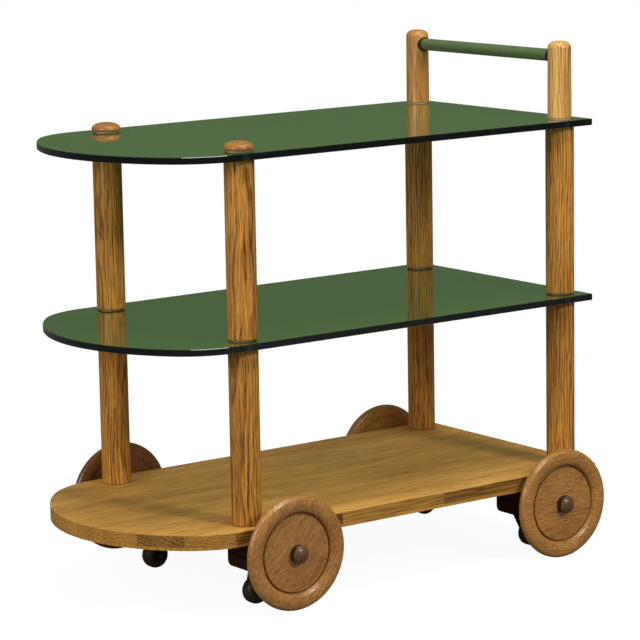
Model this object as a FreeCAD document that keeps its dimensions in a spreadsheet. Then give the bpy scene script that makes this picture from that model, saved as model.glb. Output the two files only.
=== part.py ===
import FreeCAD, Part
import math
import os

import Sketcher

# A two-tier bar cart: a laminated oak bottom shelf with a rounded nose, two plates of
# green glass on turned oak posts, a round handle rod across the two tall rear posts,
# four big turned wheels beside the shelf, and four small swivel casters that carry it.
# X runs from the round nose (-X, front) to the handle (+X, rear), Y across, Z up.
# The origin lies on the floor under the middle of the bottom shelf. Sizes are in mm.

os.makedirs("parts", exist_ok=True)
doc = FreeCAD.newDocument("BarCart")

SIZES = (
    ("shelf_length", 827, "bottom shelf from the nose to the rear edge"),
    ("shelf_width", 417, "bottom shelf across"),
    ("shelf_thickness", 22.5, "bottom shelf with all its layers"),
    ("shelf_nose_depth", 163, "length of the rounded front of the shelf"),
    ("shelf_corner_radius", 130, "tighter side arcs of that front"),
    ("shelf_rear_overhang", 42, "from the rear post axes to the rear edge"),
    ("shelf_front_overhang", 185, "from the front post axes to the nose"),
    ("shelf_side_overhang", 34, "from the post axes to the side edges"),
    ("top_veneer_thickness", 1, "veneer on the shelf"),
    ("bottom_layer_thickness", 4.5, "pale board under the shelf"),
    ("glass_thickness", 10, "both glass plates"),
    ("glass_nose_depth", 150, "length of the rounded front of the glass"),
    ("glass_corner_radius", 115, "tighter side arcs of that front"),
    ("glass_rear_overhang", 34, "from the rear post axes to the rear edge"),
    ("glass_front_overhang", 183, "from the front post axes to the nose"),
    ("glass_side_overhang", 36.5, "from the post axes to the side edges"),
    ("glass_bevel", 0.8, "ground edges of the glass"),
    ("glass_hole_dia", 14, "drilled holes in the glass at each post"),
    ("post_dia", 44, "turned posts"),
    ("post_length", 258.5, "each post between two levels"),
    ("post_end_round", 2, "rounded ends of the posts"),
    ("pad_dia", 34, "clear pads between wood and glass"),
    ("pad_thickness", 1.5, "clear pads between wood and glass"),
    ("stud_dia", 8, "threaded studs that join the posts through the glass"),
    ("stud_engagement", 30, "stud length inside a post"),
    ("cap_stud_engagement", 7, "stud length inside a front cap"),
    ("hole_end_gap", 0.5, "space past the end of a stud or screw"),
    ("fit_gap", 0.05, "radial gap of a shaft in its hole"),
    ("running_gap", 0.3, "side gap between turning and fixed faces"),
    ("cap_dia", 45, "front button caps"),
    ("cap_height", 13, "front button caps"),
    ("cap_edge_height", 5, "straight edge under the dome of the cap"),
    ("handle_post_dia", 37, "rear handle posts at the glass"),
    ("handle_post_top_dia", 36, "rear handle posts at the top"),
    ("handle_post_length", 117.5, "rear handle posts"),
    ("handle_post_crown", 10, "rise of the domed top"),
    ("handle_height", 94.5, "rod axis above the foot of the handle post"),
    ("rod_dia", 19, "handle rod"),
    ("rod_engagement", 12, "depth of the rod in each handle post"),
    ("grommet_dia", 22.5, "rubber ring round the rod end"),
    ("grommet_lip", 2, "rubber ring proud of the post"),
    ("block_width", 64, "axle block along the cart"),
    ("block_length", 100, "axle block across the cart"),
    ("block_height", 53.5, "axle block below the shelf"),
    ("block_setback", 1, "outer end of the block behind the shelf edge"),
    ("block_round", 8, "rounded lower inner corner of the block"),
    ("block_screw_dia", 5, "screws from the block into the shelf"),
    ("block_screw_spread", 40, "distance between the two screws of a block"),
    ("block_screw_inset", 16, "from the outer end of the block"),
    ("block_screw_bite", 15, "screw length inside the shelf"),
    ("counterbore_dia", 11, "recess for the screw head"),
    ("counterbore_depth", 22, "recess for the screw head"),
    ("block_screw_head_dia", 10, "screw head"),
    ("block_screw_head_height", 3, "screw head"),
    ("post_screw_dia", 7, "screws from under the shelf into the lower posts"),
    ("post_screw_bite", 35, "screw length inside the post"),
    ("post_screw_head_dia", 14, "screw head"),
    ("post_screw_head_height", 3.5, "screw head"),
    ("axle_inset", 43, "wheel axes in from the post axes, along the cart"),
    ("front_axle_drop", 16.5, "front wheel axis below the underside of the shelf"),
    ("rear_axle_drop", 25.5, "rear wheel axis below the underside of the shelf"),
    ("front_wheel_standoff", 26, "middle plane of the wheel out from the shelf edge"),
    ("rear_wheel_standoff", 18, "middle plane of the wheel out from the shelf edge"),
    ("wheel_dia", 169.5, "turned oak wheels"),
    ("rim_width", 25, "round rim, along the radius"),
    ("rim_thickness", 16, "round rim, along the axle"),
    ("rim_shoulder_radius", 7, "tighter arcs at the edges of the rim"),
    ("web_back", 6, "inner face of the disc behind the middle plane"),
    ("plateau_edge_height", 2, "raised disc at its edge, out from the middle plane"),
    ("plateau_crown", 2, "extra rise of the raised disc at its centre"),
    ("plateau_gap", 3, "groove between the raised disc and the rim"),
    ("groove_depth", 2, "floor of the groove behind the middle plane"),
    ("web_overlap", 5, "how far the disc runs into the rim"),
    ("pin_dia", 16, "wheel pin"),
    ("pin_engagement", 60, "pin length inside the block"),
    ("pin_head_dia", 27, "domed pin head"),
    ("pin_head_height", 15, "domed pin head"),
    ("pin_head_edge_height", 9, "straight edge under the dome of the head"),
    ("collar_dia", 34, "collar between block and wheel"),
    ("caster_height", 58, "floor to the underside of the block"),
    ("front_caster_shift", 7.5, "swivel axis behind the front wheel axis"),
    ("rear_caster_shift", 4.5, "swivel axis behind the rear wheel axis"),
    ("caster_setback", 73, "swivel axes in from the outer ends of the blocks"),
    ("caster_plate_size", 44, "square top plate"),
    ("caster_plate_thickness", 2, "square top plate"),
    ("caster_screw_spacing", 33, "between the four plate screws"),
    ("caster_screw_dia", 3.5, "plate screws"),
    ("caster_screw_bite", 15, "plate screw length inside the block"),
    ("caster_screw_head_dia", 7, "plate screw heads"),
    ("caster_screw_head_height", 1.8, "plate screw heads"),
    ("race_dia", 28, "fixed swivel race under the plate"),
    ("race_height", 4, "fixed swivel race under the plate"),
    ("kingpin_dia", 7, "swivel pin"),
    ("kingpin_head_dia", 12, "swivel pin head"),
    ("kingpin_head_height", 2, "swivel pin head"),
    ("caster_trail", 10, "caster wheel axis beside the swivel axis, away from the middle"),
    ("caster_wheel_dia", 40, "caster tyre"),
    ("caster_wheel_width", 24, "caster tyre"),
    ("tyre_shoulder_radius", 9, "rounded shoulders of the tyre"),
    ("caster_hub_dia", 18, "caster hub"),
    ("caster_axle_dia", 6, "caster axle"),
    ("caster_axle_head_dia", 10, "riveted ends of the axle"),
    ("caster_axle_head_height", 1.5, "riveted ends of the axle"),
    ("fork_side_gap", 1, "between tyre and fork"),
    ("fork_thickness", 2, "fork sheet"),
    ("fork_inner_reach", 13, "fork crown from the swivel axis towards the middle"),
    ("fork_outer_reach", 12, "fork crown from the swivel axis away from the middle"),
    ("fork_foot_radius", 7.5, "rounded lower end of the fork legs"),
)

sheet = doc.addObject("Spreadsheet::Sheet", "Sizes")
for row, (size_name, number, meaning) in enumerate(SIZES, start=1):
    sheet.set("A%d" % row, size_name)
    sheet.set("B%d" % row, str(number))
    sheet.set("C%d" % row, meaning)
    sheet.setAlias("B%d" % row, size_name)
doc.recompute()


class Size:
    """A length of the sheet, or a sum of such lengths, with its value and its expression."""

    def __init__(self, value, text):
        self.value = float(value)
        self.text = text

    def joined(self, other, sign, value):
        return Size(value, "(%s %s %s)" % (self.text, sign, as_size(other).text))

    def __add__(self, other):
        return self.joined(other, "+", self.value + as_size(other).value)

    def __sub__(self, other):
        return self.joined(other, "-", self.value - as_size(other).value)

    def __mul__(self, other):
        return self.joined(other, "*", self.value * as_size(other).value)

    def __truediv__(self, other):
        return self.joined(other, "/", self.value / as_size(other).value)

    def __neg__(self):
        return Size(-self.value, "(-1 * %s)" % self.text)

    def root(self):
        return Size(math.sqrt(self.value), "sqrt(%s)" % self.text)


def as_size(number):
    return number if isinstance(number, Size) else Size(number, repr(number))


class Sheet:
    """Gives each named cell of the sheet as a Size."""

    def __getattr__(self, alias):
        return Size(getattr(sheet, alias), "Sizes." + alias)


S = Sheet()
ZERO = as_size(0)

# Levels above the floor
BLOCK_BOTTOM = S.caster_height
SHELF_BOTTOM = BLOCK_BOTTOM + S.block_height
SHELF_TOP = SHELF_BOTTOM + S.shelf_thickness
MIDDLE_GLASS = SHELF_TOP + S.post_length + S.pad_thickness
UPPER_POST_FOOT = MIDDLE_GLASS + S.glass_thickness + S.pad_thickness
TOP_GLASS = UPPER_POST_FOOT + S.post_length + S.pad_thickness
DECK_TOP = TOP_GLASS + S.glass_thickness + S.pad_thickness

# Plan positions
SHELF_REAR = S.shelf_length / 2
REAR_POST_X = SHELF_REAR - S.shelf_rear_overhang
FRONT_POST_X = S.shelf_front_overhang - SHELF_REAR
MIDDLE_X = (REAR_POST_X + FRONT_POST_X) / 2
POST_REACH_X = (REAR_POST_X - FRONT_POST_X) / 2
POST_REACH_Y = S.shelf_width / 2 - S.shelf_side_overhang
AXLE_REACH_X = POST_REACH_X - S.axle_inset
BLOCK_OUTER_Y = S.shelf_width / 2 - S.block_setback
CASTER_REACH_Y = BLOCK_OUTER_Y - S.caster_setback

ENDS = (("front", -1), ("rear", 1))
SIDES = (("left", -1), ("right", 1))
CORNERS = tuple((end + "_" + side, sx, sy) for end, sx in ENDS for side, sy in SIDES)

NODES = []


def as_node(feature, name):
    """Keeps a finished object as one named piece of the cart."""
    feature.Label = name
    NODES.append(feature)
    return feature


def bind(thing, path, size):
    thing.setExpression(path, size.text)


def put(thing, x, y, z, axis=FreeCAD.Vector(0, 0, 1), angle=0):
    """Turns an object, then ties its place to the sheet."""
    thing.Placement = FreeCAD.Placement(FreeCAD.Vector(), FreeCAD.Rotation(axis, angle))
    for letter, size in (("x", x), ("y", y), ("z", z)):
        bind(thing, "Placement.Base." + letter, as_size(size))
    return thing


def new_body(name):
    body = doc.addObject("PartDesign::Body", "Body_" + name)
    body.AllowCompound = True
    return body


def new_sketch(body, plane):
    sketch = body.newObject("Sketcher::SketchObject", body.Name + "_Sketch")
    support = [part for part in body.Origin.OriginFeatures if part.Role == plane][0]
    sketch.AttachmentSupport = [(support, "")]
    sketch.MapMode = "FlatFace"
    return sketch


# In a sketch, point 1 of a curve is its start, 2 its end and 3 its centre. Curve -1 is the
# horizontal axis, whose start is the origin, and curve -2 the vertical axis.


def fix_one(sketch, geometry, point, kind, size):
    """Dimensions one coordinate of a point from the sketch origin, or lays it on an axis."""
    if size.text == ZERO.text:
        axis = -2 if kind == "DistanceX" else -1
        sketch.addConstraint(Sketcher.Constraint("PointOnObject", geometry, point, axis))
        return
    rule = Sketcher.Constraint(kind, -1, 1, geometry, point, size.value)
    bind(sketch, "Constraints[%d]" % sketch.addConstraint(rule), size)


def fix(sketch, geometry, point, x, y):
    fix_one(sketch, geometry, point, "DistanceX", x)
    fix_one(sketch, geometry, point, "DistanceY", y)


def draw_outline(sketch, points):
    """Draws a closed outline. A point is (x, y), and (x, y, centre_x, centre_y, turn) makes the
    stretch to the next point an arc about that centre, anticlockwise where turn is 1."""
    first = sketch.GeometryCount
    plain = [tuple(as_size(number) for number in point[:4]) for point in points]
    count = len(points)
    for i, point in enumerate(plain):
        following = plain[(i + 1) % count]
        here = FreeCAD.Vector(point[0].value, point[1].value, 0)
        there = FreeCAD.Vector(following[0].value, following[1].value, 0)
        if len(point) == 2:
            sketch.addGeometry(Part.LineSegment(here, there), False)
            continue
        centre = FreeCAD.Vector(point[2].value, point[3].value, 0)
        angles = [math.atan2(spot.y - centre.y, spot.x - centre.x) for spot in (here, there)]
        if points[i][4] < 0:
            angles.reverse()
        circle = Part.Circle(centre, FreeCAD.Vector(0, 0, 1), (here - centre).Length)
        sketch.addGeometry(Part.ArcOfCircle(circle, *angles), False)

    def end_of(i, leaving):
        backwards = len(plain[i]) == 4 and points[i][4] < 0
        return 1 if leaving != backwards else 2

    for i in range(count):
        j = (i + 1) % count
        rule = ("Coincident", first + i, end_of(i, False), first + j, end_of(j, True))
        sketch.addConstraint(Sketcher.Constraint(*rule))
    for i, point in enumerate(plain):
        fix(sketch, first + i, end_of(i, True), point[0], point[1])
    for i, point in enumerate(plain):
        if len(point) == 4:
            fix_centre(sketch, first + i, point, plain[(i + 1) % count])


def fix_centre(sketch, geometry, point, following):
    """Ties the one loose coordinate of an arc's centre, the one that lies best across its chord."""
    if abs(following[0].value - point[0].value) < abs(following[1].value - point[1].value):
        fix_one(sketch, geometry, 3, "DistanceX", point[2])
    else:
        fix_one(sketch, geometry, 3, "DistanceY", point[3])


def draw_circles(sketch, spots, diameter):
    """Draws equal circles at (x, y) spots."""
    radius = diameter / 2
    for x, y in spots:
        x, y = as_size(x), as_size(y)
        centre = FreeCAD.Vector(x.value, y.value, 0)
        circle = Part.Circle(centre, FreeCAD.Vector(0, 0, 1), radius.value)
        geometry = sketch.addGeometry(circle, False)
        fix(sketch, geometry, 3, x, y)
        index = sketch.addConstraint(Sketcher.Constraint("Radius", geometry, radius.value))
        bind(sketch, "Constraints[%d]" % index, radius)


def pad(body, sketch, length, start=ZERO):
    """Raises a sketch by a length, from a start level above its plane."""
    if start.text != ZERO.text:
        sketch.AttachmentOffset = FreeCAD.Placement()
        bind(sketch, "AttachmentOffset.Base.z", start)
    feature = body.newObject("PartDesign::Pad", body.Name + "_Pad")
    feature.Profile = sketch
    bind(feature, "Length", length)
    body.Tip = feature
    return feature


def turn(body, points):
    """Turns a profile of (radius, height) points about the body's Z axis."""
    sketch = new_sketch(body, "XZ_Plane")
    draw_outline(sketch, points)
    feature = body.newObject("PartDesign::Revolution", body.Name + "_Turned")
    feature.Profile = sketch
    feature.ReferenceAxis = (sketch, ["V_Axis"])
    feature.Angle = 360
    body.Tip = feature
    return feature


def like_pieces(name, layers, z):
    """A group of like pieces: each layer is (spots, start, length, diameter, bore)."""
    body = new_body(name)
    for spots, start, length, diameter, bore in layers:
        sketch = new_sketch(body, "XY_Plane")
        draw_circles(sketch, spots, diameter)
        if bore is not None:
            draw_circles(sketch, spots, bore)
        pad(body, sketch, length, as_size(start))
    as_node(put(body, ZERO, ZERO, z), name)


def cylinder(name, diameter, length, x, y, z, axis=FreeCAD.Vector(0, 0, 1), angle=0):
    rod = doc.addObject("Part::Cylinder", name)
    bind(rod, "Radius", diameter / 2)
    bind(rod, "Height", length)
    return put(rod, x, y, z, axis, angle)


def grouped(name, things):
    group = doc.addObject("Part::Compound", name)
    group.Links = things
    return group


def drilled(name, blank, tools):
    """Cuts a list of tools out of a blank."""
    cut = doc.addObject("Part::Cut", name + "_Cut")
    cut.Base = blank
    cut.Tool = grouped(name + "_Drills", tools)
    return cut


def bore_of(diameter):
    return diameter + S.fit_gap * 2


def oval_arcs(half_length, half_height, corner):
    """Half an oval of three tangent arcs: the radius of its long arc, and the point where that arc
    meets the corner arc, measured from the oval's centre towards one corner."""
    side = half_length - corner
    long_radius = (side * side + half_height * half_height - corner * corner) / (
        (half_height - corner) * 2)
    share = long_radius / (long_radius - corner)
    return long_radius, side * share, half_height - long_radius + (long_radius - half_height) * share


def nose_outline(sketch, nose, rear, half, depth, corner):
    """The plan of a shelf: straight sides and rear, and a nose of three tangent arcs."""
    long_radius, meet_y, meet_in = oval_arcs(half, depth, corner)
    base = nose + depth
    nose_centre = nose + long_radius
    meet_x = base - meet_in
    arc_y = half - corner
    draw_outline(sketch, (
        (rear, -half),
        (rear, half),
        (base, half, base, arc_y, 1),
        (meet_x, meet_y, nose_centre, ZERO, 1),
        (meet_x, -meet_y, base, -arc_y, 1),
        (base, -half),
    ))


def post_spots():
    """The four post axes in plan."""
    return [(MIDDLE_X + POST_REACH_X * sx, POST_REACH_Y * sy) for _, sx, sy in CORNERS]


def axle_x(sx):
    return MIDDLE_X + AXLE_REACH_X * sx


def axle_drop(sx):
    return S.front_axle_drop if sx < 0 else S.rear_axle_drop


def wheel_y(sx):
    """Middle plane of the wheels at one end, out from the middle of the cart."""
    return S.shelf_width / 2 + (S.front_wheel_standoff if sx < 0 else S.rear_wheel_standoff)


def block_screw_spots():
    """Two screws a block, near its outer end, each side of the wheel pin."""
    y = BLOCK_OUTER_Y - S.block_screw_inset
    spots = []
    for _, sx, sy in CORNERS:
        x = axle_x(sx)
        spots += [(x + S.block_screw_spread / 2 * k, y * sy) for k in (-1, 1)]
    return spots


def caster_shift(sx):
    """How far a swivel axis stands behind its wheel axis, towards the handle."""
    return S.front_caster_shift if sx < 0 else S.rear_caster_shift


def caster_spots():
    """The four swivel axes in plan."""
    return [(axle_x(sx) + caster_shift(sx), CASTER_REACH_Y * sy) for _, sx, sy in CORNERS]


def caster_screw_spots():
    reach = S.caster_screw_spacing / 2
    return [(x + reach * i, y + reach * j) for x, y in caster_spots() for i in (-1, 1) for j in (-1, 1)]


def make_shelf_layer(name, thickness, z, holes):
    """One layer of the bottom shelf. Each entry of holes is (spots, diameter)."""
    body = new_body(name)
    sketch = new_sketch(body, "XY_Plane")
    nose_outline(sketch, -SHELF_REAR, SHELF_REAR, S.shelf_width / 2, S.shelf_nose_depth,
                 S.shelf_corner_radius)
    for spots, diameter in holes:
        draw_circles(sketch, spots, diameter)
    pad(body, sketch, thickness)
    return put(body, ZERO, ZERO, z)


def make_bottom_shelf():
    """A solid stave core with a veneer above and a pale board below, as its edge shows."""
    post_holes = (post_spots(), bore_of(S.post_screw_dia))
    block_holes = (block_screw_spots(), bore_of(S.block_screw_dia))
    below, above = S.bottom_layer_thickness, S.top_veneer_thickness
    lower = make_shelf_layer("shelf_bottom_layer", below, SHELF_BOTTOM, (post_holes, block_holes))
    as_node(lower, "shelf_bottom_layer")
    core = S.shelf_thickness - below - above
    body = make_shelf_layer("shelf_core", core, SHELF_BOTTOM + below, (post_holes,))
    sketch = new_sketch(body, "XY_Plane")
    draw_circles(sketch, *block_holes)
    pocket = body.newObject("PartDesign::Pocket", "Shelf_Pilot_Holes")
    pocket.Profile = sketch
    pocket.Reversed = True
    bind(pocket, "Length", S.block_screw_bite - below + S.hole_end_gap)
    body.Tip = pocket
    as_node(body, "shelf_core")
    upper = make_shelf_layer("shelf_top_veneer", above, SHELF_TOP - above, (post_holes,))
    as_node(upper, "shelf_top_veneer")


def on_rim(edge):
    """Whether an edge of a glass plate lies level and belongs to its outline, not to a hole."""
    box = edge.BoundBox
    level = box.ZLength < S.glass_bevel.value / 2
    return level and max(box.XLength, box.YLength) > S.glass_hole_dia.value * 2


def make_glass(name, z):
    """A toughened glass plate with a polished edge and four drilled holes."""
    body = new_body(name)
    sketch = new_sketch(body, "XY_Plane")
    nose_outline(sketch, FRONT_POST_X - S.glass_front_overhang, REAR_POST_X + S.glass_rear_overhang,
                 POST_REACH_Y + S.glass_side_overhang, S.glass_nose_depth, S.glass_corner_radius)
    draw_circles(sketch, post_spots(), S.glass_hole_dia)
    plate = pad(body, sketch, S.glass_thickness)
    doc.recompute()
    rims = ["Edge%d" % (i + 1) for i, edge in enumerate(plate.Shape.Edges) if on_rim(edge)]
    bevel = body.newObject("PartDesign::Chamfer", name + "_Bevel")
    bevel.Base = (plate, rims)
    bind(bevel, "Size", S.glass_bevel)
    body.Tip = bevel
    as_node(put(body, ZERO, ZERO, z), name)


def make_post(name, x, y, z, foot_dia, foot_depth):
    """A turned oak post with a hole for the screw or stud at its foot and a stud hole on top."""
    body = new_body(name)
    outer, edge, length = S.post_dia / 2, S.post_end_round, S.post_length
    foot, head = bore_of(foot_dia) / 2, bore_of(S.stud_dia) / 2
    foot_end = foot_depth + S.hole_end_gap
    head_end = length - S.stud_engagement - S.hole_end_gap
    turn(body, (
        (foot, ZERO),
        (outer - edge, ZERO, outer - edge, edge, 1),
        (outer, edge),
        (outer, length - edge, outer - edge, length - edge, 1),
        (outer - edge, length),
        (head, length),
        (head, head_end),
        (ZERO, head_end),
        (ZERO, foot_end),
        (foot, foot_end),
    ))
    as_node(put(body, x, y, z), name)


def dome_rise(radius, rise):
    """Radius of the sphere that rises by this much over a disc of this radius."""
    return (radius * radius + rise * rise) / (rise * 2)


def make_cap(name, x, y):
    """A turned oak button on the stud of a front post."""
    body = new_body(name)
    outer, edge, height = S.cap_dia / 2, S.cap_edge_height, S.cap_height
    bore = bore_of(S.stud_dia) / 2
    bore_end = S.cap_stud_engagement + S.hole_end_gap
    rise = height - edge
    sphere = dome_rise(outer, rise)
    turn(body, (
        (bore, ZERO),
        (outer, ZERO),
        (outer, edge, ZERO, height - sphere, 1),
        (ZERO, height),
        (ZERO, bore_end),
        (bore, bore_end),
    ))
    as_node(put(body, x, y, DECK_TOP), name)


def make_handle_post(name, x, y, sy):
    """A tapered rear post with a domed top, bored on its inner face for the handle rod."""
    body = new_body(name + "_blank")
    foot, top = S.handle_post_dia / 2, S.handle_post_top_dia / 2
    length, crown = S.handle_post_length, S.handle_post_crown
    bore = bore_of(S.stud_dia) / 2
    bore_end = S.stud_engagement + S.hole_end_gap
    sphere = dome_rise(top, crown)
    turn(body, (
        (bore, ZERO),
        (foot, ZERO),
        (top, length - crown, ZERO, length - sphere, 1),
        (ZERO, length),
        (ZERO, bore_end),
        (bore, bore_end),
    ))
    depth = S.rod_engagement + S.hole_end_gap
    start = (foot - depth) * -sy
    drill = cylinder(name + "_Drill", bore_of(S.grommet_dia), S.handle_post_dia, ZERO, start,
                     S.handle_height, FreeCAD.Vector(1, 0, 0), 90 * sy)
    blank = drilled(name, body, [drill])
    as_node(put(blank, x, y, DECK_TOP), name)


def rod_half_length():
    """Half the handle rod: to the bottom of the holes in the handle posts, less the end gap."""
    return POST_REACH_Y - S.handle_post_dia / 2 + S.rod_engagement


def make_handle():
    """A round green rod between the rear posts, held in a rubber ring at each end."""
    half = rod_half_length()
    z = DECK_TOP + S.handle_height
    rod = cylinder("Rod", S.rod_dia, half * 2, REAR_POST_X, -half, z, FreeCAD.Vector(1, 0, 0), -90)
    as_node(rod, "handle_rod")
    rings = []
    for side, sy in SIDES:
        body = new_body("grommet_" + side)
        outer, inner = S.grommet_dia / 2, bore_of(S.rod_dia) / 2
        depth = S.rod_engagement + S.grommet_lip
        turn(body, ((inner, ZERO), (outer, ZERO), (outer, depth), (inner, depth)))
        y = (half - depth) * sy
        rings.append(put(body, REAR_POST_X, y, z, FreeCAD.Vector(1, 0, 0), -90 * sy))
    as_node(grouped("Grommets", rings), "handle_grommets")


def make_block(name, sx, sy):
    """An oak block screwed under the shelf: it holds the wheel pin and carries the caster."""
    body = new_body(name + "_blank")
    length, height, bend = S.block_length, S.block_height, S.block_round
    sketch = new_sketch(body, "YZ_Plane")
    draw_outline(sketch, (
        (ZERO, ZERO),
        (ZERO, height),
        (-length, height),
        (-length, bend, bend - length, bend, 1),
        (bend - length, ZERO),
    ))
    pad(body, sketch, S.block_width, -(S.block_width / 2))
    axle_z = height - axle_drop(sx)
    pin_depth = S.pin_engagement + S.hole_end_gap
    tools = [cylinder(name + "_Pin_Hole", bore_of(S.pin_dia), pin_depth, ZERO, -pin_depth, axle_z,
                      FreeCAD.Vector(1, 0, 0), -90)]
    for k in (-1, 1):
        x, y = S.block_screw_spread / 2 * k, -S.block_screw_inset
        tools.append(cylinder(name + "_Screw_Hole", bore_of(S.block_screw_dia), height, x, y, ZERO))
        tools.append(cylinder(name + "_Recess", S.counterbore_dia, S.counterbore_depth, x, y, ZERO))
    shift = caster_shift(sx) * sy
    reach = S.caster_screw_spacing / 2
    depth = S.caster_screw_bite + S.hole_end_gap
    for i in (-1, 1):
        for j in (-1, 1):
            tools.append(cylinder(name + "_Plate_Screw_Hole", bore_of(S.caster_screw_dia), depth,
                                  shift + reach * i, reach * j - S.caster_setback, ZERO))
    block = drilled(name, body, tools)
    angle = 0 if sy > 0 else 180
    place = (axle_x(sx), BLOCK_OUTER_Y * sy, BLOCK_BOTTOM)
    as_node(put(block, *place, FreeCAD.Vector(0, 0, 1), angle), name)


def put_on_axle(thing, sx, sy, out):
    """Lays a turned piece on a wheel axle, its Z axis pointing out from the cart."""
    place = (axle_x(sx), out * sy, SHELF_BOTTOM - axle_drop(sx))
    return put(thing, *place, FreeCAD.Vector(1, 0, 0), -90 * sy)


def make_wheel(name, sx, sy):
    """A turned oak wheel: a round rim, a groove, and a raised disc bored for the pin."""
    body = new_body(name)
    half_width, half_thick, corner = S.rim_width / 2, S.rim_thickness / 2, S.rim_shoulder_radius
    ring = S.wheel_dia / 2 - half_width
    long_radius, meet_r, meet_z = oval_arcs(half_width, half_thick, corner)
    side = half_width - corner
    crest = half_thick - long_radius
    turn(body, (
        (ring + meet_r, -meet_z, ring + side, ZERO, 1),
        (ring + meet_r, meet_z, ring, crest, 1),
        (ring - meet_r, meet_z, ring - side, ZERO, 1),
        (ring - meet_r, -meet_z, ring, -crest, 1),
    ))
    bore = bore_of(S.pin_dia) / 2
    inside = ring - half_width
    web = inside + S.web_overlap
    plateau = inside - S.plateau_gap
    low, rise = S.plateau_edge_height, S.plateau_crown
    sphere = dome_rise(plateau, rise)
    centre = low + rise - sphere
    turn(body, (
        (bore, -S.web_back),
        (web, -S.web_back),
        (web, -S.groove_depth),
        (plateau, -S.groove_depth),
        (plateau, low, ZERO, centre, 1),
        (bore, centre + (sphere * sphere - bore * bore).root()),
    ))
    as_node(put_on_axle(body, sx, sy, wheel_y(sx)), name)


def make_pin(name, sx, sy):
    """A hardwood pin with a domed head: the wheel turns on it, and it is glued in the block."""
    body = new_body(name)
    shank, head = S.pin_dia / 2, S.pin_head_dia / 2
    head_seat = wheel_y(sx) + S.plateau_edge_height + S.plateau_crown + S.running_gap
    length = head_seat - BLOCK_OUTER_Y + S.pin_engagement
    edge = length + S.pin_head_edge_height
    top = length + S.pin_head_height
    sphere = dome_rise(head, S.pin_head_height - S.pin_head_edge_height)
    turn(body, (
        (ZERO, ZERO),
        (shank, ZERO),
        (shank, length),
        (head, length),
        (head, edge, ZERO, top - sphere, 1),
        (ZERO, top),
    ))
    as_node(put_on_axle(body, sx, sy, BLOCK_OUTER_Y - S.pin_engagement), name)


def make_collars():
    """Turned collars that keep the wheels clear of the shelf."""
    collars = []
    for name, sx, sy in CORNERS:
        body = new_body("collar_" + name)
        length = wheel_y(sx) - S.web_back - S.running_gap - BLOCK_OUTER_Y
        inner, outer = bore_of(S.pin_dia) / 2, S.collar_dia / 2
        turn(body, ((inner, ZERO), (outer, ZERO), (outer, length), (inner, length)))
        collars.append(put_on_axle(body, sx, sy, BLOCK_OUTER_Y))
    as_node(grouped("Collars", collars), "wheel_collars")


def fork_crown_top():
    return S.caster_height - S.caster_plate_thickness - S.race_height - S.running_gap


def fork_half_width():
    return S.caster_wheel_width / 2 + S.fork_side_gap + S.fork_thickness


def make_caster_plates():
    """Square steel plates with a fixed swivel race below."""
    body = new_body("caster_plates")
    sketch = new_sketch(body, "XY_Plane")
    reach = S.caster_plate_size / 2
    for x, y in caster_spots():
        draw_outline(sketch, ((x - reach, y - reach), (x + reach, y - reach), (x + reach, y + reach),
                              (x - reach, y + reach)))
    draw_circles(sketch, caster_spots(), bore_of(S.kingpin_dia))
    draw_circles(sketch, caster_screw_spots(), bore_of(S.caster_screw_dia))
    pad(body, sketch, S.caster_plate_thickness, S.race_height)
    sketch = new_sketch(body, "XY_Plane")
    draw_circles(sketch, caster_spots(), S.race_dia)
    draw_circles(sketch, caster_spots(), bore_of(S.kingpin_dia))
    pad(body, sketch, S.race_height)
    z = S.caster_height - S.caster_plate_thickness - S.race_height
    as_node(put(body, ZERO, ZERO, z), "caster_plates")


def make_caster_fork(name, x, y, sx):
    """A bent steel fork that swivels on the kingpin and holds the caster wheel."""
    body = new_body(name + "_blank")
    top, thick, half = fork_crown_top(), S.fork_thickness, fork_half_width()
    inner, outer = S.fork_inner_reach, S.fork_outer_reach
    trail, foot, axle = S.caster_trail, S.fork_foot_radius, S.caster_wheel_dia / 2
    for y_start in (-half, half - thick):
        sketch = new_sketch(body, "XZ_Plane")
        draw_outline(sketch, (
            (-inner, top),
            (-inner, top - thick),
            (trail - foot, axle, trail, axle, 1),
            (trail + foot, axle),
            (outer, top - thick),
            (outer, top),
        ))
        pad(body, sketch, thick, y_start)
    sketch = new_sketch(body, "XY_Plane")
    draw_outline(sketch, ((-inner, -half), (outer, -half), (outer, half), (-inner, half)))
    pad(body, sketch, thick, top - thick)
    tools = [
        cylinder(name + "_King_Hole", bore_of(S.kingpin_dia), top, ZERO, ZERO, axle),
        cylinder(name + "_Axle_Hole", bore_of(S.caster_axle_dia), half * 2, trail, -half, axle,
                 FreeCAD.Vector(1, 0, 0), -90),
    ]
    angle = 0 if sx > 0 else 180
    as_node(put(drilled(name, body, tools), x, y, ZERO, FreeCAD.Vector(0, 0, 1), angle), name)


def put_on_caster(thing, x, y, sx):
    """Lays a turned piece on the axle of a caster that trails away from the middle of the cart."""
    place = (x + S.caster_trail * sx, y, S.caster_wheel_dia / 2)
    return put(thing, *place, FreeCAD.Vector(1, 0, 0), -90)


def make_caster_axle(name, x, y, sx):
    """A riveted axle with a round head outside each fork leg."""
    body = new_body(name)
    half = fork_half_width()
    end = half + S.caster_axle_head_height
    shank, head = S.caster_axle_dia / 2, S.caster_axle_head_dia / 2
    turn(body, (
        (ZERO, -end),
        (head, -end),
        (head, -half),
        (shank, -half),
        (shank, half),
        (head, half),
        (head, end),
        (ZERO, end),
    ))
    as_node(put_on_caster(body, x, y, sx), name)


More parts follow.
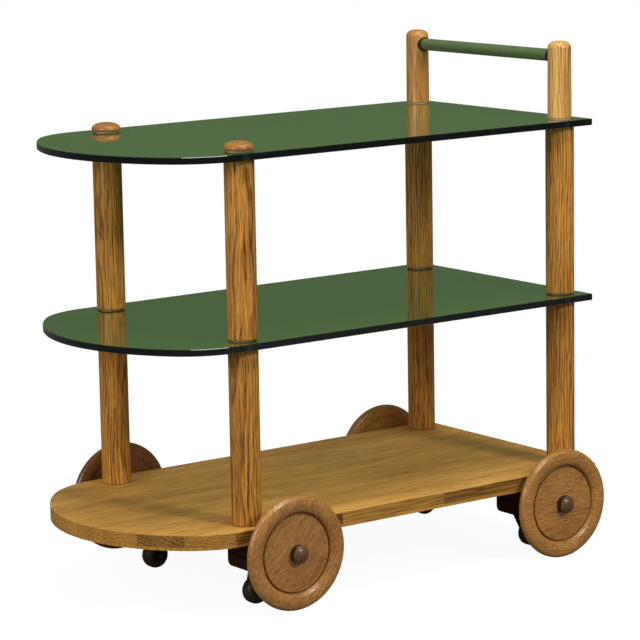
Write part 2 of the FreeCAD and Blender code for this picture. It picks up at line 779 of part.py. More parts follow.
def make_caster_wheel(corner, x, y, sx):
    """A hard rubber tyre pressed on a hub that runs on the axle."""
    half = S.caster_wheel_width / 2
    outer, middle, bend = S.caster_wheel_dia / 2, S.caster_hub_dia / 2, S.tyre_shoulder_radius
    bore = bore_of(S.caster_axle_dia) / 2
    seat = middle + S.fit_gap
    hub_half = fork_half_width() - S.fork_thickness - S.running_gap
    tyre = new_body("caster_tyre_" + corner)
    turn(tyre, (
        (seat, -half),
        (outer - bend, -half, outer - bend, bend - half, 1),
        (outer, bend - half),
        (outer, half - bend, outer - bend, half - bend, 1),
        (outer - bend, half),
        (seat, half),
    ))
    hub = new_body("caster_hub_" + corner)
    boss = S.caster_axle_head_dia / 2
    turn(hub, (
        (bore, -hub_half),
        (boss, -hub_half),
        (boss, -half),
        (middle, -half),
        (middle, half),
        (boss, half),
        (boss, hub_half),
        (bore, hub_half),
    ))
    for body, name in ((tyre, "caster_tyre_" + corner), (hub, "caster_hub_" + corner)):
        as_node(put_on_caster(body, x, y, sx), name)


def make_fasteners():
    """Pads, sleeves, studs, screws and swivel pins, each kind as one group of like pieces."""
    bore = bore_of(S.stud_dia)
    posts = post_spots()
    front_posts, rear_posts = posts[:2], posts[2:]
    over = S.pad_thickness + S.glass_thickness
    for level, z in (("middle", MIDDLE_GLASS), ("top", TOP_GLASS)):
        like_pieces(level + "_glass_pads", [
            (posts, ZERO, S.pad_thickness, S.pad_dia, bore),
            (posts, over, S.pad_thickness, S.pad_dia, bore),
        ], z - S.pad_thickness)
        sleeve = S.glass_hole_dia - S.fit_gap * 2
        like_pieces(level + "_glass_sleeves", [(posts, ZERO, S.glass_thickness, sleeve, bore)], z)
    reach = S.pad_thickness + S.stud_engagement
    stud_foot = reach + over
    long_stud, short_stud = stud_foot + S.stud_engagement, stud_foot + S.cap_stud_engagement
    like_pieces("middle_studs", [(posts, ZERO, long_stud, S.stud_dia, None)], MIDDLE_GLASS - reach)
    like_pieces("top_studs", [
        (front_posts, ZERO, short_stud, S.stud_dia, None),
        (rear_posts, ZERO, long_stud, S.stud_dia, None),
    ], TOP_GLASS - reach)

    head = S.post_screw_head_height
    like_pieces("post_screws", [
        (posts, ZERO, head, S.post_screw_head_dia, None),
        (posts, head, S.shelf_thickness + S.post_screw_bite, S.post_screw_dia, None),
    ], SHELF_BOTTOM - head)

    head = S.block_screw_head_height
    shank = S.block_height - S.counterbore_depth + S.block_screw_bite
    like_pieces("block_screws", [
        (block_screw_spots(), ZERO, head, S.block_screw_head_dia, None),
        (block_screw_spots(), head, shank, S.block_screw_dia, None),
    ], BLOCK_BOTTOM + S.counterbore_depth - head)

    head = S.caster_screw_head_height
    shank = S.caster_plate_thickness + S.caster_screw_bite
    like_pieces("caster_screws", [
        (caster_screw_spots(), ZERO, head, S.caster_screw_head_dia, None),
        (caster_screw_spots(), head, shank, S.caster_screw_dia, None),
    ], BLOCK_BOTTOM - S.caster_plate_thickness - head)

    head = S.kingpin_head_height
    seat = fork_crown_top() - S.fork_thickness - S.running_gap
    like_pieces("caster_kingpins", [
        (caster_spots(), ZERO, head, S.kingpin_head_dia, None),
        (caster_spots(), head, S.caster_height - seat - S.running_gap, S.kingpin_dia, None),
    ], seat - head)


def make_cart():
    make_bottom_shelf()
    make_glass("middle_glass_shelf", MIDDLE_GLASS)
    make_glass("top_glass_shelf", TOP_GLASS)
    for (corner, sx, sy), (x, y) in zip(CORNERS, post_spots()):
        make_post("lower_post_" + corner, x, y, SHELF_TOP, S.post_screw_dia, S.post_screw_bite)
        make_post("upper_post_" + corner, x, y, UPPER_POST_FOOT, S.stud_dia, S.stud_engagement)
        if sx < 0:
            make_cap(corner.replace("front", "front_cap"), x, y)
        else:
            make_handle_post(corner.replace("rear", "handle_post"), x, y, sy)
    make_handle()
    for corner, sx, sy in CORNERS:
        make_block("axle_block_" + corner, sx, sy)
        make_wheel("wheel_" + corner, sx, sy)
        make_pin("wheel_pin_" + corner, sx, sy)
    make_collars()
    make_caster_plates()
    for (corner, sx, sy), (x, y) in zip(CORNERS, caster_spots()):
        make_caster_fork("caster_fork_" + corner, x, y, sx)
        make_caster_axle("caster_axle_" + corner, x, y, sx)
        make_caster_wheel(corner, x, y, sx)
    make_fasteners()


def check_and_write():
    """Stops on any failed object, then writes each piece to its own file."""
    doc.recompute()
    for thing in doc.Objects:
        if "Invalid" in thing.State or "Error" in thing.State:
            raise RuntimeError("%s failed: %s" % (thing.Label, thing.State))
        if thing.isDerivedFrom("Sketcher::SketchObject") and not thing.FullyConstrained:
            raise RuntimeError("%s is not fully dimensioned" % thing.Label)
    for node in NODES:
        shape = node.Shape
        if shape.isNull() or not shape.isValid() or not shape.Solids:
            raise RuntimeError("%s has no valid solid" % node.Label)
        shape.exportStep("parts/%s.step" % node.Label)
        print("%-28s %2d solid(s) %12.1f mm3" % (node.Label, len(shape.Solids), shape.Volume))
    print(len(NODES), "nodes")


make_cart()
check_and_write()
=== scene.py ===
import math

import bpy
import numpy as np
from mathutils import Matrix, Vector


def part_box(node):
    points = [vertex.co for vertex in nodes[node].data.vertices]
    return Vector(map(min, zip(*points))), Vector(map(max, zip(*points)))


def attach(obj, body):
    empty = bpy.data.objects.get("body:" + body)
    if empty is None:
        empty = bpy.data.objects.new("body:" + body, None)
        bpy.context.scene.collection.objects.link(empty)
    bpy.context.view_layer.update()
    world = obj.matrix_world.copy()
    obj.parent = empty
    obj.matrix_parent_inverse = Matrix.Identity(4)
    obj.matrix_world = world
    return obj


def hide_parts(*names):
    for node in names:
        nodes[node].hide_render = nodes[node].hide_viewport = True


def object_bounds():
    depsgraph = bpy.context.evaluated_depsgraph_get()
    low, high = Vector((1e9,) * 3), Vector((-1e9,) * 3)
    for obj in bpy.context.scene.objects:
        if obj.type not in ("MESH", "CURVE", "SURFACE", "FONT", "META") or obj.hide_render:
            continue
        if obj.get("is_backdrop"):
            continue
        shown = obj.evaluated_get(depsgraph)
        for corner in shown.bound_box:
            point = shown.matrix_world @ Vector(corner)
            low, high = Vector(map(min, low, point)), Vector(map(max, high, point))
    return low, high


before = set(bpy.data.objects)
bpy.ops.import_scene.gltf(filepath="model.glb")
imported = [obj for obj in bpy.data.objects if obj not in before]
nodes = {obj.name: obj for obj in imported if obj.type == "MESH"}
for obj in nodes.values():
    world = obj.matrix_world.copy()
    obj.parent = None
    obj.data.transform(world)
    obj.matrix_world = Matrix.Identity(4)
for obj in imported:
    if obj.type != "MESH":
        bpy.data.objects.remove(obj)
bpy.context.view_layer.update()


# ---- Base shelf -------------------------------------------------------------------------
# A glued-up oak board under a lengthwise veneer, lacquered to a satin gold. Its cut blocks show
# round the edge in different tones, end grain round the nose, over one pale board below.

def paint(red, green, blue):
    """A colour given as a screen shows it, 0 to 255, as linear light."""
    share = np.array([red, green, blue]) / 255
    linear = np.where(share <= 0.04045, share / 12.92, ((share + 0.055) / 1.055) ** 2.4)
    return (*linear.tolist(), 1.0)


def add(tree, kind, inputs=(), **settings):
    """One shader node. settings are its own properties, and inputs pairs each socket with a
    number, a colour or another node's output."""
    node = tree.nodes.new("ShaderNode" + kind)
    for key, value in settings.items():
        setattr(node, key, value)
    for socket, value in inputs:
        if isinstance(value, bpy.types.NodeSocket):
            tree.links.new(value, node.inputs[socket])
        else:
            node.inputs[socket].default_value = value
    return node


def sum_of(tree, operation, *terms):
    """A Math node's output: the operation on one, two or three terms."""
    return add(tree, "Math", enumerate(terms), operation=operation).outputs[0]


def vector_of(tree, operation, *terms):
    """A Vector Math node's output: the operation on one or two vectors."""
    return add(tree, "VectorMath", enumerate(terms), operation=operation).outputs[0]


def blank(name):
    """A new material with a Principled shader, as (material, tree, shader, object coordinates)."""
    material = bpy.data.materials.new(name)
    material.use_nodes = True
    tree = material.node_tree
    shader = tree.nodes["Principled BSDF"]
    place = add(tree, "TexCoord").outputs["Object"]
    return material, tree, shader, place


def stretched(tree, place, scale, detail=2.0, roughness=0.5):
    """Noise in a space stretched by three scales (cycles per metre), 0 to 1."""
    scaled = vector_of(tree, "MULTIPLY", place, scale)
    inputs = (("Vector", scaled), ("Scale", 1.0), ("Detail", detail), ("Roughness", roughness))
    return add(tree, "TexNoise", inputs).outputs["Fac"]


def remap(tree, value, low, high, new_low=0.0, new_high=1.0):
    inputs = ((0, value), (1, low), (2, high), (3, new_low), (4, new_high))
    return add(tree, "MapRange", inputs).outputs[0]


def blended(tree, share, first, second):
    """Two colours mixed by a share."""
    mix = add(tree, "Mix", ((0, share), (6, first), (7, second)), data_type="RGBA")
    return mix.outputs[2]


def oak(name, pale, dark, turn, pith, ring, waver=0.006, rings=0.5, fibres=0.5, patches=0.3,
        pores=0.5, flecks=0.0, blocks=None, rough=0.4, shine=0.3):
    """Solid oak. turn lays the grain along Z, and a point lies in ring number
    distance from the pith / ring, bent by slow noise. Each ring starts dark and open-pored and
    fades to pale. Fibres are long streaks, pores short dark dashes, and flecks the ray figure.
    blocks is the width, length and first joints of glued blocks, each with its own tone, and
    the numbers, along and across, of those that are darker still."""
    material, tree, shader, place = blank(name)
    if blocks is not None:
        wide, long, joint_x, joint_y, stained = blocks
        from_joint = vector_of(tree, "SUBTRACT", place, (joint_x, joint_y, 0.0))
        cells = vector_of(tree, "DIVIDE", from_joint, (long, wide, 1.0))
        cell = vector_of(tree, "FLOOR", vector_of(tree, "MULTIPLY", cells, (1.0, 1.0, 0.0)))
        tone = add(tree, "TexWhiteNoise", ((0, cell),), noise_dimensions="3D").outputs
        shift = vector_of(tree, "MULTIPLY", tone["Color"], (0.0, 0.3, 0.3))
        place = vector_of(tree, "ADD", place, shift)
    centred = vector_of(tree, "SUBTRACT", place, pith)
    inputs = (("Vector", centred), ("Rotation", turn))
    grain = add(tree, "Mapping", inputs, vector_type="POINT").outputs[0]
    flat = vector_of(tree, "MULTIPLY", grain, (1.0, 1.0, 0.0))
    reach = add(tree, "VectorMath", ((0, flat),), operation="LENGTH").outputs["Value"]
    slow = remap(tree, stretched(tree, grain, (13.0, 13.0, 4.0), 3.0), 0.25, 0.75, -waver, waver)
    quick = remap(tree, stretched(tree, grain, (90.0, 90.0, 9.0)), 0.2, 0.8, -ring * 0.6, ring * 0.6)
    bent = sum_of(tree, "ADD", sum_of(tree, "ADD", reach, slow), quick)
    phase = sum_of(tree, "FRACT", sum_of(tree, "DIVIDE", bent, ring))
    band = add(tree, "ValToRGB", ((0, phase),))
    stops = band.color_ramp.elements
    stops[0].position, stops[0].color = 0.0, (0.45, 0.45, 0.45, 1)
    stops[1].position, stops[1].color = 1.0, (0.6, 0.6, 0.6, 1)
    for position, level in ((0.12, 0.0), (0.34, 0.6), (0.7, 1.0)):
        stop = stops.new(position)
        stop.color = (level, level, level, 1)
    fibre = remap(tree, stretched(tree, grain, (620.0, 620.0, 10.0), 3.0, 0.7), 0.37, 0.63)
    patch = remap(tree, stretched(tree, grain, (22.0, 22.0, 3.0)), 0.3, 0.7, -patches / 2, patches / 2)
    level = sum_of(tree, "MULTIPLY_ADD", band.outputs[0], rings, patch)
    level = sum_of(tree, "MULTIPLY_ADD", fibre, fibres, level)
    level = sum_of(tree, "ADD", level, (1.0 - rings - fibres) / 2)
    if blocks is not None:
        level = sum_of(tree, "ADD", level, sum_of(tree, "MULTIPLY_ADD", tone["Value"], 0.3, -0.1))
        for number in stained:
            gap = add(tree, "VectorMath", ((0, cell), (1, (*number, 0.0))), operation="DISTANCE")
            inside = sum_of(tree, "LESS_THAN", gap.outputs["Value"], 0.5)
            level = sum_of(tree, "MULTIPLY_ADD", inside, -0.4, level)
    level = add(tree, "Clamp", ((0, level),)).outputs[0]
    colour = blended(tree, level, dark, pale)
    vessel = remap(tree, stretched(tree, grain, (900.0, 900.0, 36.0), 1.0), 0.52, 0.62)
    early = sum_of(tree, "SUBTRACT", 1.0, sum_of(tree, "MULTIPLY", phase, 0.75))
    pore = sum_of(tree, "MULTIPLY", sum_of(tree, "MULTIPLY", vessel, early), pores)
    deepest = tuple(0.3 * part for part in dark[:3]) + (1.0,)
    colour = blended(tree, pore, colour, deepest)
    if flecks:
        ray = remap(tree, stretched(tree, grain, (520.0, 520.0, 150.0), 1.0), 0.54, 0.68)
        colour = blended(tree, sum_of(tree, "MULTIPLY", ray, flecks), colour, dark)
        spark = remap(tree, stretched(tree, grain, (380.0, 560.0, 110.0), 1.0), 0.60, 0.72)
        colour = blended(tree, sum_of(tree, "MULTIPLY", spark, flecks * 0.6), colour, pale)
    tree.links.new(colour, shader.inputs["Base Color"])
    dull = remap(tree, pore, 0.0, 1.0, rough, min(1.0, rough + 0.3))
    tree.links.new(dull, shader.inputs["Roughness"])
    height = sum_of(tree, "SUBTRACT", sum_of(tree, "MULTIPLY", band.outputs[0], 0.25), pore)
    bump = add(tree, "Bump", (("Height", height), ("Strength", 0.35), ("Distance", 0.0003)))
    tree.links.new(bump.outputs[0], shader.inputs["Normal"])
    shader.inputs["Specular IOR Level"].default_value = shine
    return material


LENGTHWISE = (0.0, math.radians(-90), 0.0)
UPRIGHT = (0.0, 0.0, 0.0)
DARK_BLOCKS = ((-3, 0), (-2, -1), (0, -1))
stave_width, stave_length = 0.056, 0.19
first_joint_x, first_joint_y = 0.109, -0.1745
staves = (stave_width, stave_length, first_joint_x, first_joint_y, DARK_BLOCKS)

nodes["shelf_top_veneer"].data.materials[0] = oak(
    "shelf_gold", paint(230, 176, 90), paint(172, 120, 54), LENGTHWISE, (0.0, -0.5, 0.9), 0.011,
    waver=0.016, rings=0.3, fibres=0.45, patches=0.5, pores=0.3, rough=0.5, shine=0.12)
nodes["shelf_core"].data.materials[0] = oak(
    "stave_ends", paint(214, 156, 74), paint(108, 70, 26), LENGTHWISE, (0.0, 0.1, -0.05), 0.0045,
    rings=0.35, fibres=0.4, pores=0.6, blocks=staves, rough=0.5, shine=0.15)
nodes["shelf_bottom_layer"].data.materials[0] = oak(
    "shelf_pale", paint(204, 150, 68), paint(150, 100, 38), LENGTHWISE, (0.0, 0.7, -0.04), 0.008,
    rough=0.5, shine=0.15)


# ---- Posts ------------------------------------------------------------------------------
# Eight turned oak posts, 44 mm thick, with softened ends: four between the base shelf and the
# middle glass, four between the two plates. Golden brown, with bold dark lines up the grain.

def lathe(name, outline, base, axis, material, steps=96, ring=False):
    """A turned solid. outline is an array of (radius, height) rows from foot to top, and the
    point at angle t is base + radius (cos t e1 + sin t e2) + height axis. A ring's outline is a
    closed loop, and otherwise the first and last rows have radius 0 and close as poles."""
    axis = np.array(axis, float)
    first = np.cross(axis, (0.0, 0.0, 1.0) if abs(axis[2]) < 0.5 else (0.0, -1.0, 0.0))
    second = np.cross(axis, first)
    turn = np.arange(steps) * (2 * math.pi / steps)
    wheel = np.cos(turn)[:, None] * first + np.sin(turn)[:, None] * second
    outline = np.array(outline, float)
    body = outline if ring else outline[1:-1]
    grid = body[:, 0, None, None] * wheel[None] + body[:, 1, None, None] * axis
    points = grid.reshape(-1, 3)
    rows = len(body)
    row, column = np.meshgrid(np.arange(rows if ring else rows - 1), np.arange(steps), indexing="ij")
    after, beside = (row + 1) % rows, (column + 1) % steps
    quads = np.stack([row * steps + column, row * steps + beside,
                      after * steps + beside, after * steps + column], axis=-1).reshape(-1, 4)
    faces = quads.tolist()
    if not ring:
        foot, top = len(points), len(points) + 1
        poles = [outline[0, 1] * axis, outline[-1, 1] * axis]
        points = np.vstack([points, poles])
        near = np.arange(steps)
        far = (near + 1) % steps
        last = (rows - 1) * steps
        faces += np.stack([np.full(steps, foot), far, near], axis=-1).tolist()
        faces += np.stack([np.full(steps, top), last + near, last + far], axis=-1).tolist()
    mesh = bpy.data.meshes.new(name)
    mesh.from_pydata((points + np.array(base)).tolist(), [], faces)
    mesh.polygons.foreach_set("use_smooth", np.ones(len(faces), bool))
    mesh.materials.append(material)
    piece = bpy.data.objects.new(name, mesh)
    bpy.context.scene.collection.objects.link(piece)
    return piece


def bend(centre_r, centre_h, radius, start, end, count=8):
    """Points of an arc in an outline, from one angle to another in degrees."""
    angle = np.radians(np.linspace(start, end, count))
    return np.stack([centre_r + radius * np.cos(angle), centre_h + radius * np.sin(angle)], axis=-1)


def straight(r0, h0, r1, h1, count):
    """Points of a straight run in an outline."""
    share = np.linspace(0.0, 1.0, count)[:, None]
    return np.array([[r0, h0]]) * (1 - share) + np.array([[r1, h1]]) * share


def middle_of(node):
    """The middle of a node's box in plan, with its lowest and highest level."""
    low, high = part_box(node)
    return (low.x + high.x) / 2, (low.y + high.y) / 2, low.z, high.z


corners = ("front_left", "front_right", "rear_left", "rear_right")
post_edge = 0.0025
pith_reach = 0.046
pith_turns = ((0.3, 2.2, 5.2, 4.1), (1.2, 3.4, 2.6, 5.6))
for level, turns in zip(("lower", "upper"), pith_turns):
    for corner, pith_turn in zip(corners, turns):
        node = level + "_post_" + corner
        x, y, foot, top = middle_of(node)
        low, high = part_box(node)
        radius = (high.y - low.y) / 2
        height = top - foot
        pith = (x + pith_reach * math.cos(pith_turn), y + pith_reach * math.sin(pith_turn), foot)
        wood = oak("oak_" + node, paint(228, 160, 68), paint(88, 46, 8), UPRIGHT, pith, 0.0042,
                   waver=0.006, rings=0.5, fibres=0.55, pores=0.85, rough=0.36, shine=0.3)
        outline = np.vstack([
            [[0.0, 0.0]],
            straight(radius * 0.4, 0.0, radius - post_edge * 1.5, 0.0, 3),
            bend(radius - post_edge, post_edge, post_edge, -90, 0),
            straight(radius, post_edge * 1.5, radius, height - post_edge * 1.5, 12),
            bend(radius - post_edge, height - post_edge, post_edge, 0, 90),
            straight(radius - post_edge * 1.5, height, radius * 0.4, height, 3),
            [[0.0, height]],
        ])
        post = lathe("turned_" + node, outline, (x, y, foot), (0, 0, 1), wood)
        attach(post, "cart")
        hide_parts(node)


# ---- Glass shelves ----------------------------------------------------------------------
# Two 10 mm plates of green glass with ground edges. Seen along the cart they mirror the posts
# that stand on them, and end on the green builds up to nearly black.

# Each painted glint on the glass edge: its place along the cart, its half width and its strength
PAINTED_GLINTS = ((-0.242, 0.0035, 0.9), (0.209, 0.003, 0.3), (0.355, 0.003, 0.7))


def green_plate(name):
    """Face, edge and ground bevel are told apart by how level the surface is. A teal glint is painted
    on the edge in front of each near post, a painted highlight for light leaving the edge."""
    material, tree, shader, place = blank(name)
    face_green, edge_green, bevel_green = paint(120, 172, 84), paint(4, 14, 12), paint(60, 84, 54)
    parts = add(tree, "SeparateXYZ", ((0, add(tree, "NewGeometry").outputs["Normal"]),)).outputs
    level = sum_of(tree, "ABSOLUTE", parts[2])
    cloud = remap(tree, stretched(tree, place, (3.0, 5.0, 3.0), 2.0), 0.3, 0.7)
    deep = tuple(0.9 * part for part in face_green[:3]) + (1.0,)
    face = blended(tree, cloud, deep, face_green)
    along = add(tree, "SeparateXYZ", ((0, place),)).outputs[0]
    painted_glint = 0.0
    for spot, width, strength in PAINTED_GLINTS:
        near = sum_of(tree, "ABSOLUTE", sum_of(tree, "SUBTRACT", along, spot))
        painted_glint = sum_of(tree, "ADD", painted_glint, remap(tree, near, width, width * 2, strength, 0.0))
    # The teal here is a painted glint, a painted highlight on the near-black edge
    edge = blended(tree, painted_glint, edge_green, paint(30, 92, 88))
    side = blended(tree, remap(tree, level, 0.3, 0.4), edge, bevel_green)
    flat = remap(tree, level, 0.85, 0.95)
    tree.links.new(blended(tree, flat, side, face), shader.inputs["Base Color"])
    haze = stretched(tree, place, (90.0, 90.0, 90.0), 3.0)
    tree.links.new(remap(tree, haze, 0.3, 0.7, 0.015, 0.04), shader.inputs["Roughness"])
    shader.inputs["Transmission Weight"].default_value = 0.8
    shader.inputs["IOR"].default_value = 1.5
    shader.inputs["Coat Weight"].default_value = 1.0
    shader.inputs["Coat Roughness"].default_value = 0.02
    return material


plate_green = green_plate("plate_green")
for plate in ("middle_glass_shelf", "top_glass_shelf"):
    nodes[plate].data.materials[0] = plate_green


# ---- Pads, sleeves and studs ------------------------------------------------------------
# Thin clear rings keep the wood off the glass, clear sleeves line its holes, and plated steel
# studs join the posts through them. Only the rims of the rings show.

def moulded(name, colour, rough, clear=0.0, speck=0.08):
    """Plain moulded plastic or rubber: one colour with a fine mottle, and a faint moulded skin."""
    material, tree, shader, place = blank(name)
    mottle = stretched(tree, place, (160.0, 160.0, 160.0), 4.0)
    dull = tuple((1 - speck * 3) * part for part in colour[:3]) + (1.0,)
    shade = blended(tree, remap(tree, mottle, 0.3, 0.7), dull, colour)
    tree.links.new(shade, shader.inputs["Base Color"])
    tree.links.new(remap(tree, mottle, 0.3, 0.7, rough, rough + 0.12), shader.inputs["Roughness"])
    skin = stretched(tree, place, (900.0, 900.0, 900.0), 2.0)
    bump = add(tree, "Bump", (("Height", skin), ("Strength", 0.15), ("Distance", 0.0002)))
    tree.links.new(bump.outputs[0], shader.inputs["Normal"])
    shader.inputs["Transmission Weight"].default_value = clear
    return material


def plated(name, colour, rough):
    """Plated steel: bright metal with fine drawn lines and dull spots."""
    material, tree, shader, place = blank(name)
    lines = stretched(tree, place, (2400.0, 2400.0, 160.0), 2.0)
    spots = stretched(tree, place, (240.0, 240.0, 240.0), 4.0)
    dull = tuple(0.6 * part for part in colour[:3]) + (1.0,)
    shade = blended(tree, remap(tree, spots, 0.35, 0.75), colour, dull)
    tree.links.new(shade, shader.inputs["Base Color"])
    tree.links.new(remap(tree, lines, 0.3, 0.7, rough, rough + 0.15), shader.inputs["Roughness"])
    bump = add(tree, "Bump", (("Height", lines), ("Strength", 0.1), ("Distance", 0.0001)))
    tree.links.new(bump.outputs[0], shader.inputs["Normal"])
    shader.inputs["Metallic"].default_value = 1.0
    return material


pad_clear = moulded("pad_clear", paint(196, 184, 164), 0.3, clear=0.1)
zinc = plated("zinc", paint(190, 190, 188), 0.25)
for ring in ("middle_glass_pads", "top_glass_pads", "middle_glass_sleeves", "top_glass_sleeves"):
    nodes[ring].data.materials[0] = pad_clear
for fastener in ("middle_studs", "top_studs", "post_screws", "block_screws", "caster_screws"):
    nodes[fastener].data.materials[0] = zinc


# ---- Front caps -------------------------------------------------------------------------
# Two turned oak buttons on the front studs over the top glass: an even dome, widest a third of
# the way up, that tucks in where it meets the pad.

for side, pith_turn in (("left", 0.8), ("right", 2.4)):
    node = "front_cap_" + side
    x, y, foot, top = middle_of(node)
    low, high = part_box(node)
    radius, height = (high.x - low.x) / 2 * 0.98, top - foot
    belly, seat = height * 0.27, radius * 0.85
    tuck = np.radians(np.linspace(-86, 0, 12))
    dome = np.radians(np.linspace(4, 88, 22))
    outline = np.vstack([
        [[0.0, 0.0]],
        straight(seat * 0.5, 0.0, seat, 0.0, 3),
        np.stack([seat + (radius - seat) * np.cos(tuck), belly + belly * np.sin(tuck)], axis=-1),
        np.stack([radius * np.cos(dome) ** 0.9, belly + (height - belly) * np.sin(dome)], axis=-1),
        [[0.0, height]],
    ])
    pith = (x + 0.03 * math.cos(pith_turn), y + 0.03 * math.sin(pith_turn), foot)
    wood = oak("oak_" + node, paint(186, 126, 62), paint(100, 58, 20), LENGTHWISE, pith, 0.004,
               waver=0.004, rings=0.4, fibres=0.4, pores=0.35, rough=0.3, shine=0.45)
    cap = lathe("turned_" + node, outline, (x, y, foot), (0, 0, 1), wood)
    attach(cap, "cart")
    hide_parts(node)


# ---- Handle -----------------------------------------------------------------------------
# Two lighter oak posts stand on the rear studs, slightly tapered, with domed tops. A dark green
# rod 19 mm thick joins them, held in a black rubber ring at each end.

handle_tones = (
    ("left", 5.3, paint(238, 184, 100), paint(126, 78, 28), 0.5),
    ("right", 0.6, paint(216, 156, 78), paint(132, 84, 34), 0.35),
)
for side, pith_turn, pale, dark, bold in handle_tones:
    node = "handle_post_" + side
    x, y, foot, top = middle_of(node)
    low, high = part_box(node)
    radius, height = (high.x - low.x) / 2, top - foot
    top_radius, crown = radius - 0.0005, 0.0105
    across = np.radians(np.linspace(0, 88, 22))
    dome = np.stack([top_radius * np.cos(across) ** 0.7,
                     height - crown + crown * np.sin(across)], axis=-1)
    outline = np.vstack([
        [[0.0, 0.0]],
        straight(radius * 0.4, 0.0, radius - 0.0012, 0.0, 3),
        bend(radius - 0.001, 0.001, 0.001, -80, 0, 5),
        straight(radius, 0.003, top_radius, height - crown - 0.001, 10),
        dome,
        [[0.0, height]],
    ])
    pith = (x + 0.04 * math.cos(pith_turn), y + 0.04 * math.sin(pith_turn), foot)
    wood = oak("oak_" + node, pale, dark, UPRIGHT, pith, 0.0042, waver=0.006, rings=bold,
               fibres=bold, pores=0.5, rough=0.3, shine=0.45)
    post = lathe("turned_" + node, outline, (x, y, foot), (0, 0, 1), wood)
    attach(post, "cart")
    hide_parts(node)

rod_green = moulded("rod_green", paint(96, 116, 76), 0.12, clear=0.15, speck=0.05)
nodes["handle_rod"].data.materials[0] = rod_green
ring_black = moulded("ring_black", paint(20, 20, 20), 0.55)
nodes["handle_grommets"].data.materials[0] = ring_black


# ---- Axle blocks, collars and pins ------------------------------------------------------
# A dark oak block, painted darker still as shade under the shelf, is screwed under the shelf at
# # each corner. A hardwood pin with a domed head runs through the wheel into it, with a turned collar
# between block and wheel.

ACROSS = (math.radians(90), 0.0, 0.0)
# Blocks and collars: a dark oak, painted darker still as shade for the shade under the shelf
block_oak_and_shade = oak("block_oak_and_shade", paint(96, 60, 34), paint(44, 24, 12), ACROSS, (0.02, 0.15, 0.0),
                  0.005, pores=0.5, rough=0.6, shine=0.1)
pin_oak_and_side_shade = oak("pin_oak_and_side_shade", paint(128, 84, 50), paint(56, 32, 18), ACROSS, (0.02, 0.1, 0.0),
                0.003, pores=0.6, rough=0.26, shine=0.5)

# The side of the pin's head is painted nearly black as shade, and its domed end shows the wood
tree = pin_oak_and_side_shade.node_tree
pin_colour = tree.nodes["Principled BSDF"].inputs["Base Color"]
outward = add(tree, "SeparateXYZ", ((0, add(tree, "NewGeometry").outputs["Normal"]),)).outputs[1]
end_free_of_shade = remap(tree, sum_of(tree, "ABSOLUTE", outward), 0.1, 0.55)
bare_wood = pin_colour.links[0].from_socket
# The near-black colour is painted shade on the head's side
tree.links.new(blended(tree, end_free_of_shade, paint(30, 14, 8), bare_wood), pin_colour)

for corner in corners:
    nodes["axle_block_" + corner].data.materials[0] = block_oak_and_shade
    nodes["wheel_pin_" + corner].data.materials[0] = pin_oak_and_side_shade
nodes["wheel_collars"].data.materials[0] = block_oak_and_shade


# ---- Wheels -----------------------------------------------------------------------------
# Four turned oak wheels, 170 mm across: a round rim, a narrow groove and a gently domed disc.
# Finer and redder than the posts, with short ray flecks, and a satin shine on the rim.

leans = (50, 20, 0, 80)
# Pale and dark grain colours of each wheel, in the order of the corners. The front right pair is
# darker than the rest: painted shade for the shade that falls on that wheel.
wheel_tones_and_shade = (
    (paint(208, 148, 76), paint(120, 76, 36)),
    (paint(160, 102, 54), paint(86, 50, 22)),
    (paint(212, 152, 74), paint(124, 78, 34)),
    (paint(212, 148, 74), paint(124, 78, 36)),
)
for corner, lean, (pale, dark) in zip(corners, leans, wheel_tones_and_shade):
    x, y, foot, top = middle_of("wheel_" + corner)
    pith = (x + 0.05, y, (foot + top) / 2 - 0.16)
    wheel_oak = oak("wheel_oak_" + corner, pale, dark,
                    (0.0, math.radians(90 + lean), 0.0), pith, 0.0036, waver=0.012, rings=0.25,
                    fibres=0.4, pores=0.5, flecks=0.7, rough=0.27, shine=0.6)
    nodes["wheel_" + corner].data.materials[0] = wheel_oak


# ---- Casters ----------------------------------------------------------------------------
# Four small swivel casters carry the cart: a plated plate and race, a dark steel fork on a
# kingpin, and a hard rubber tyre on a plastic hub that turns on a riveted axle.

fork_black = plated("fork_black", paint(78, 66, 54), 0.35)
axle_dark = plated("axle_dark", paint(96, 90, 84), 0.3)
tyre_black = moulded("tyre_black", paint(64, 48, 36), 0.4)
hub_grey = moulded("hub_grey", paint(34, 30, 28), 0.45)
nodes["caster_plates"].data.materials[0] = axle_dark
nodes["caster_kingpins"].data.materials[0] = axle_dark
for corner in corners:
    nodes["caster_fork_" + corner].data.materials[0] = fork_black
    nodes["caster_axle_" + corner].data.materials[0] = axle_dark
    nodes["caster_tyre_" + corner].data.materials[0] = tyre_black
    nodes["caster_hub_" + corner].data.materials[0] = hub_grey


# ---- Studio -----------------------------------------------------------------------------
# A white sweep for the camera, which glass and gloss mirror as a dim green room, a soft lamp at
# the camera's right, another overhead, a third at the nose, and the photograph's viewpoint.

def mirrored_ray(tree):
    """1 for glossy and transmission rays, and 0 for the rest."""
    path = add(tree, "LightPath").outputs
    return sum_of(tree, "MAXIMUM", path["Is Glossy Ray"], path["Is Transmission Ray"])


def seen_white(tree, seen, mirrored, lit):
    """A strength for camera rays, one for glossy and transmission rays, and one for the rest."""
    unseen = remap(tree, mirrored_ray(tree), 0.0, 1.0, lit, mirrored)
    camera_ray = add(tree, "LightPath").outputs["Is Camera Ray"]
    return add(tree, "Mix", ((0, camera_ray), (2, unseen), (3, seen))).outputs[0]


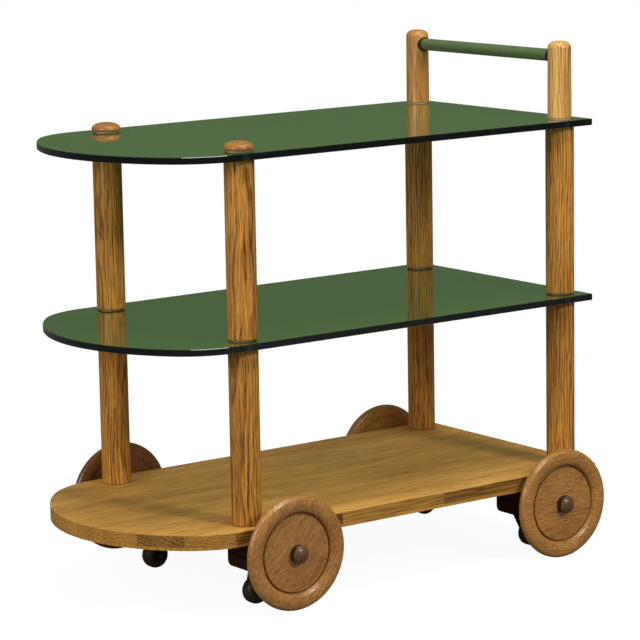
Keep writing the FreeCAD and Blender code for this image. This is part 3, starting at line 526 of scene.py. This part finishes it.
WHITE = (1.0, 1.0, 1.0, 1.0)
floor_half = 12.0
floor_grey = (0.1, 0.1, 0.1, 1.0)
floor_mesh = bpy.data.meshes.new("floor")
floor_mesh.from_pydata([(-floor_half, -floor_half, 0), (floor_half, -floor_half, 0),
                        (floor_half, floor_half, 0), (-floor_half, floor_half, 0)], [], [(0, 1, 2, 3)])
floor = bpy.data.objects.new("floor", floor_mesh)
bpy.context.scene.collection.objects.link(floor)
floor_white = bpy.data.materials.new("floor_white")
floor_white.use_nodes = True
tree = floor_white.node_tree
shader = tree.nodes["Principled BSDF"]
shader.inputs["Base Color"].default_value = floor_grey
shader.inputs["Roughness"].default_value = 1.0
shader.inputs["Specular IOR Level"].default_value = 0.0
shader.inputs["Emission Color"].default_value = WHITE
tree.links.new(seen_white(tree, 0.95, 0.03, 0.0), shader.inputs["Emission Strength"])
floor_mesh.materials.append(floor_white)
floor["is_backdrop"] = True

world = bpy.data.worlds.new("studio")
bpy.context.scene.world = world
world.use_nodes = True
tree = world.node_tree
background = tree.nodes["Background"]
tree.links.new(seen_white(tree, 1.0, 1.0, 0.46), background.inputs["Strength"])
room_green = (0.098, 0.15, 0.072, 1.0)
room = blended(tree, mirrored_ray(tree), WHITE, room_green)
tree.links.new(room, background.inputs["Color"])


def lamp(name, place, aim, size, power):
    """A soft square lamp at a place, facing an aim."""
    light = bpy.data.lights.new(name, "AREA")
    light.shape = "SQUARE"
    light.size = size
    light.energy = power
    piece = bpy.data.objects.new(name, light)
    bpy.context.scene.collection.objects.link(piece)
    piece.location = place
    piece.rotation_euler = (Vector(aim) - Vector(place)).to_track_quat("-Z", "Y").to_euler()


lamp("key", (0.6, -3.0, 2.0), (0.05, 0.0, 0.3), 0.5, 42)
lamp("overhead", (0.0, -0.6, 2.3), (0.05, 0.0, 0.4), 1.2, 26)
lamp("nose", (-2.2, -0.5, 1.1), (0.05, 0.0, 0.4), 0.9, 20)

view_turn, view_rise, view_roll = math.radians(-36.34), math.radians(9.97), math.radians(-1.01)
view_aim, view_reach = Vector((0.01872, -0.0252, 0.384)), 4.40287
back = Vector((math.sin(view_turn) * math.cos(view_rise), -math.cos(view_turn) * math.cos(view_rise),
               math.sin(view_rise)))
right = Vector((math.cos(view_turn), math.sin(view_turn), 0))
up = back.cross(right)
camera_data = bpy.data.cameras.new("camera")
camera_data.sensor_width = 36.0
camera_data.lens = 162.896
camera_data.clip_end = 60.0
camera = bpy.data.objects.new("camera", camera_data)
bpy.context.scene.collection.objects.link(camera)
rolled_right = math.cos(view_roll) * right + math.sin(view_roll) * up
rolled_up = math.cos(view_roll) * up - math.sin(view_roll) * right
turn = Matrix((rolled_right, rolled_up, back)).transposed().to_4x4()
camera.matrix_world = Matrix.Translation(view_aim + back * view_reach) @ turn
bpy.context.scene.camera = camera
bpy.context.scene.view_settings.view_transform = "Standard"

low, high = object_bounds()
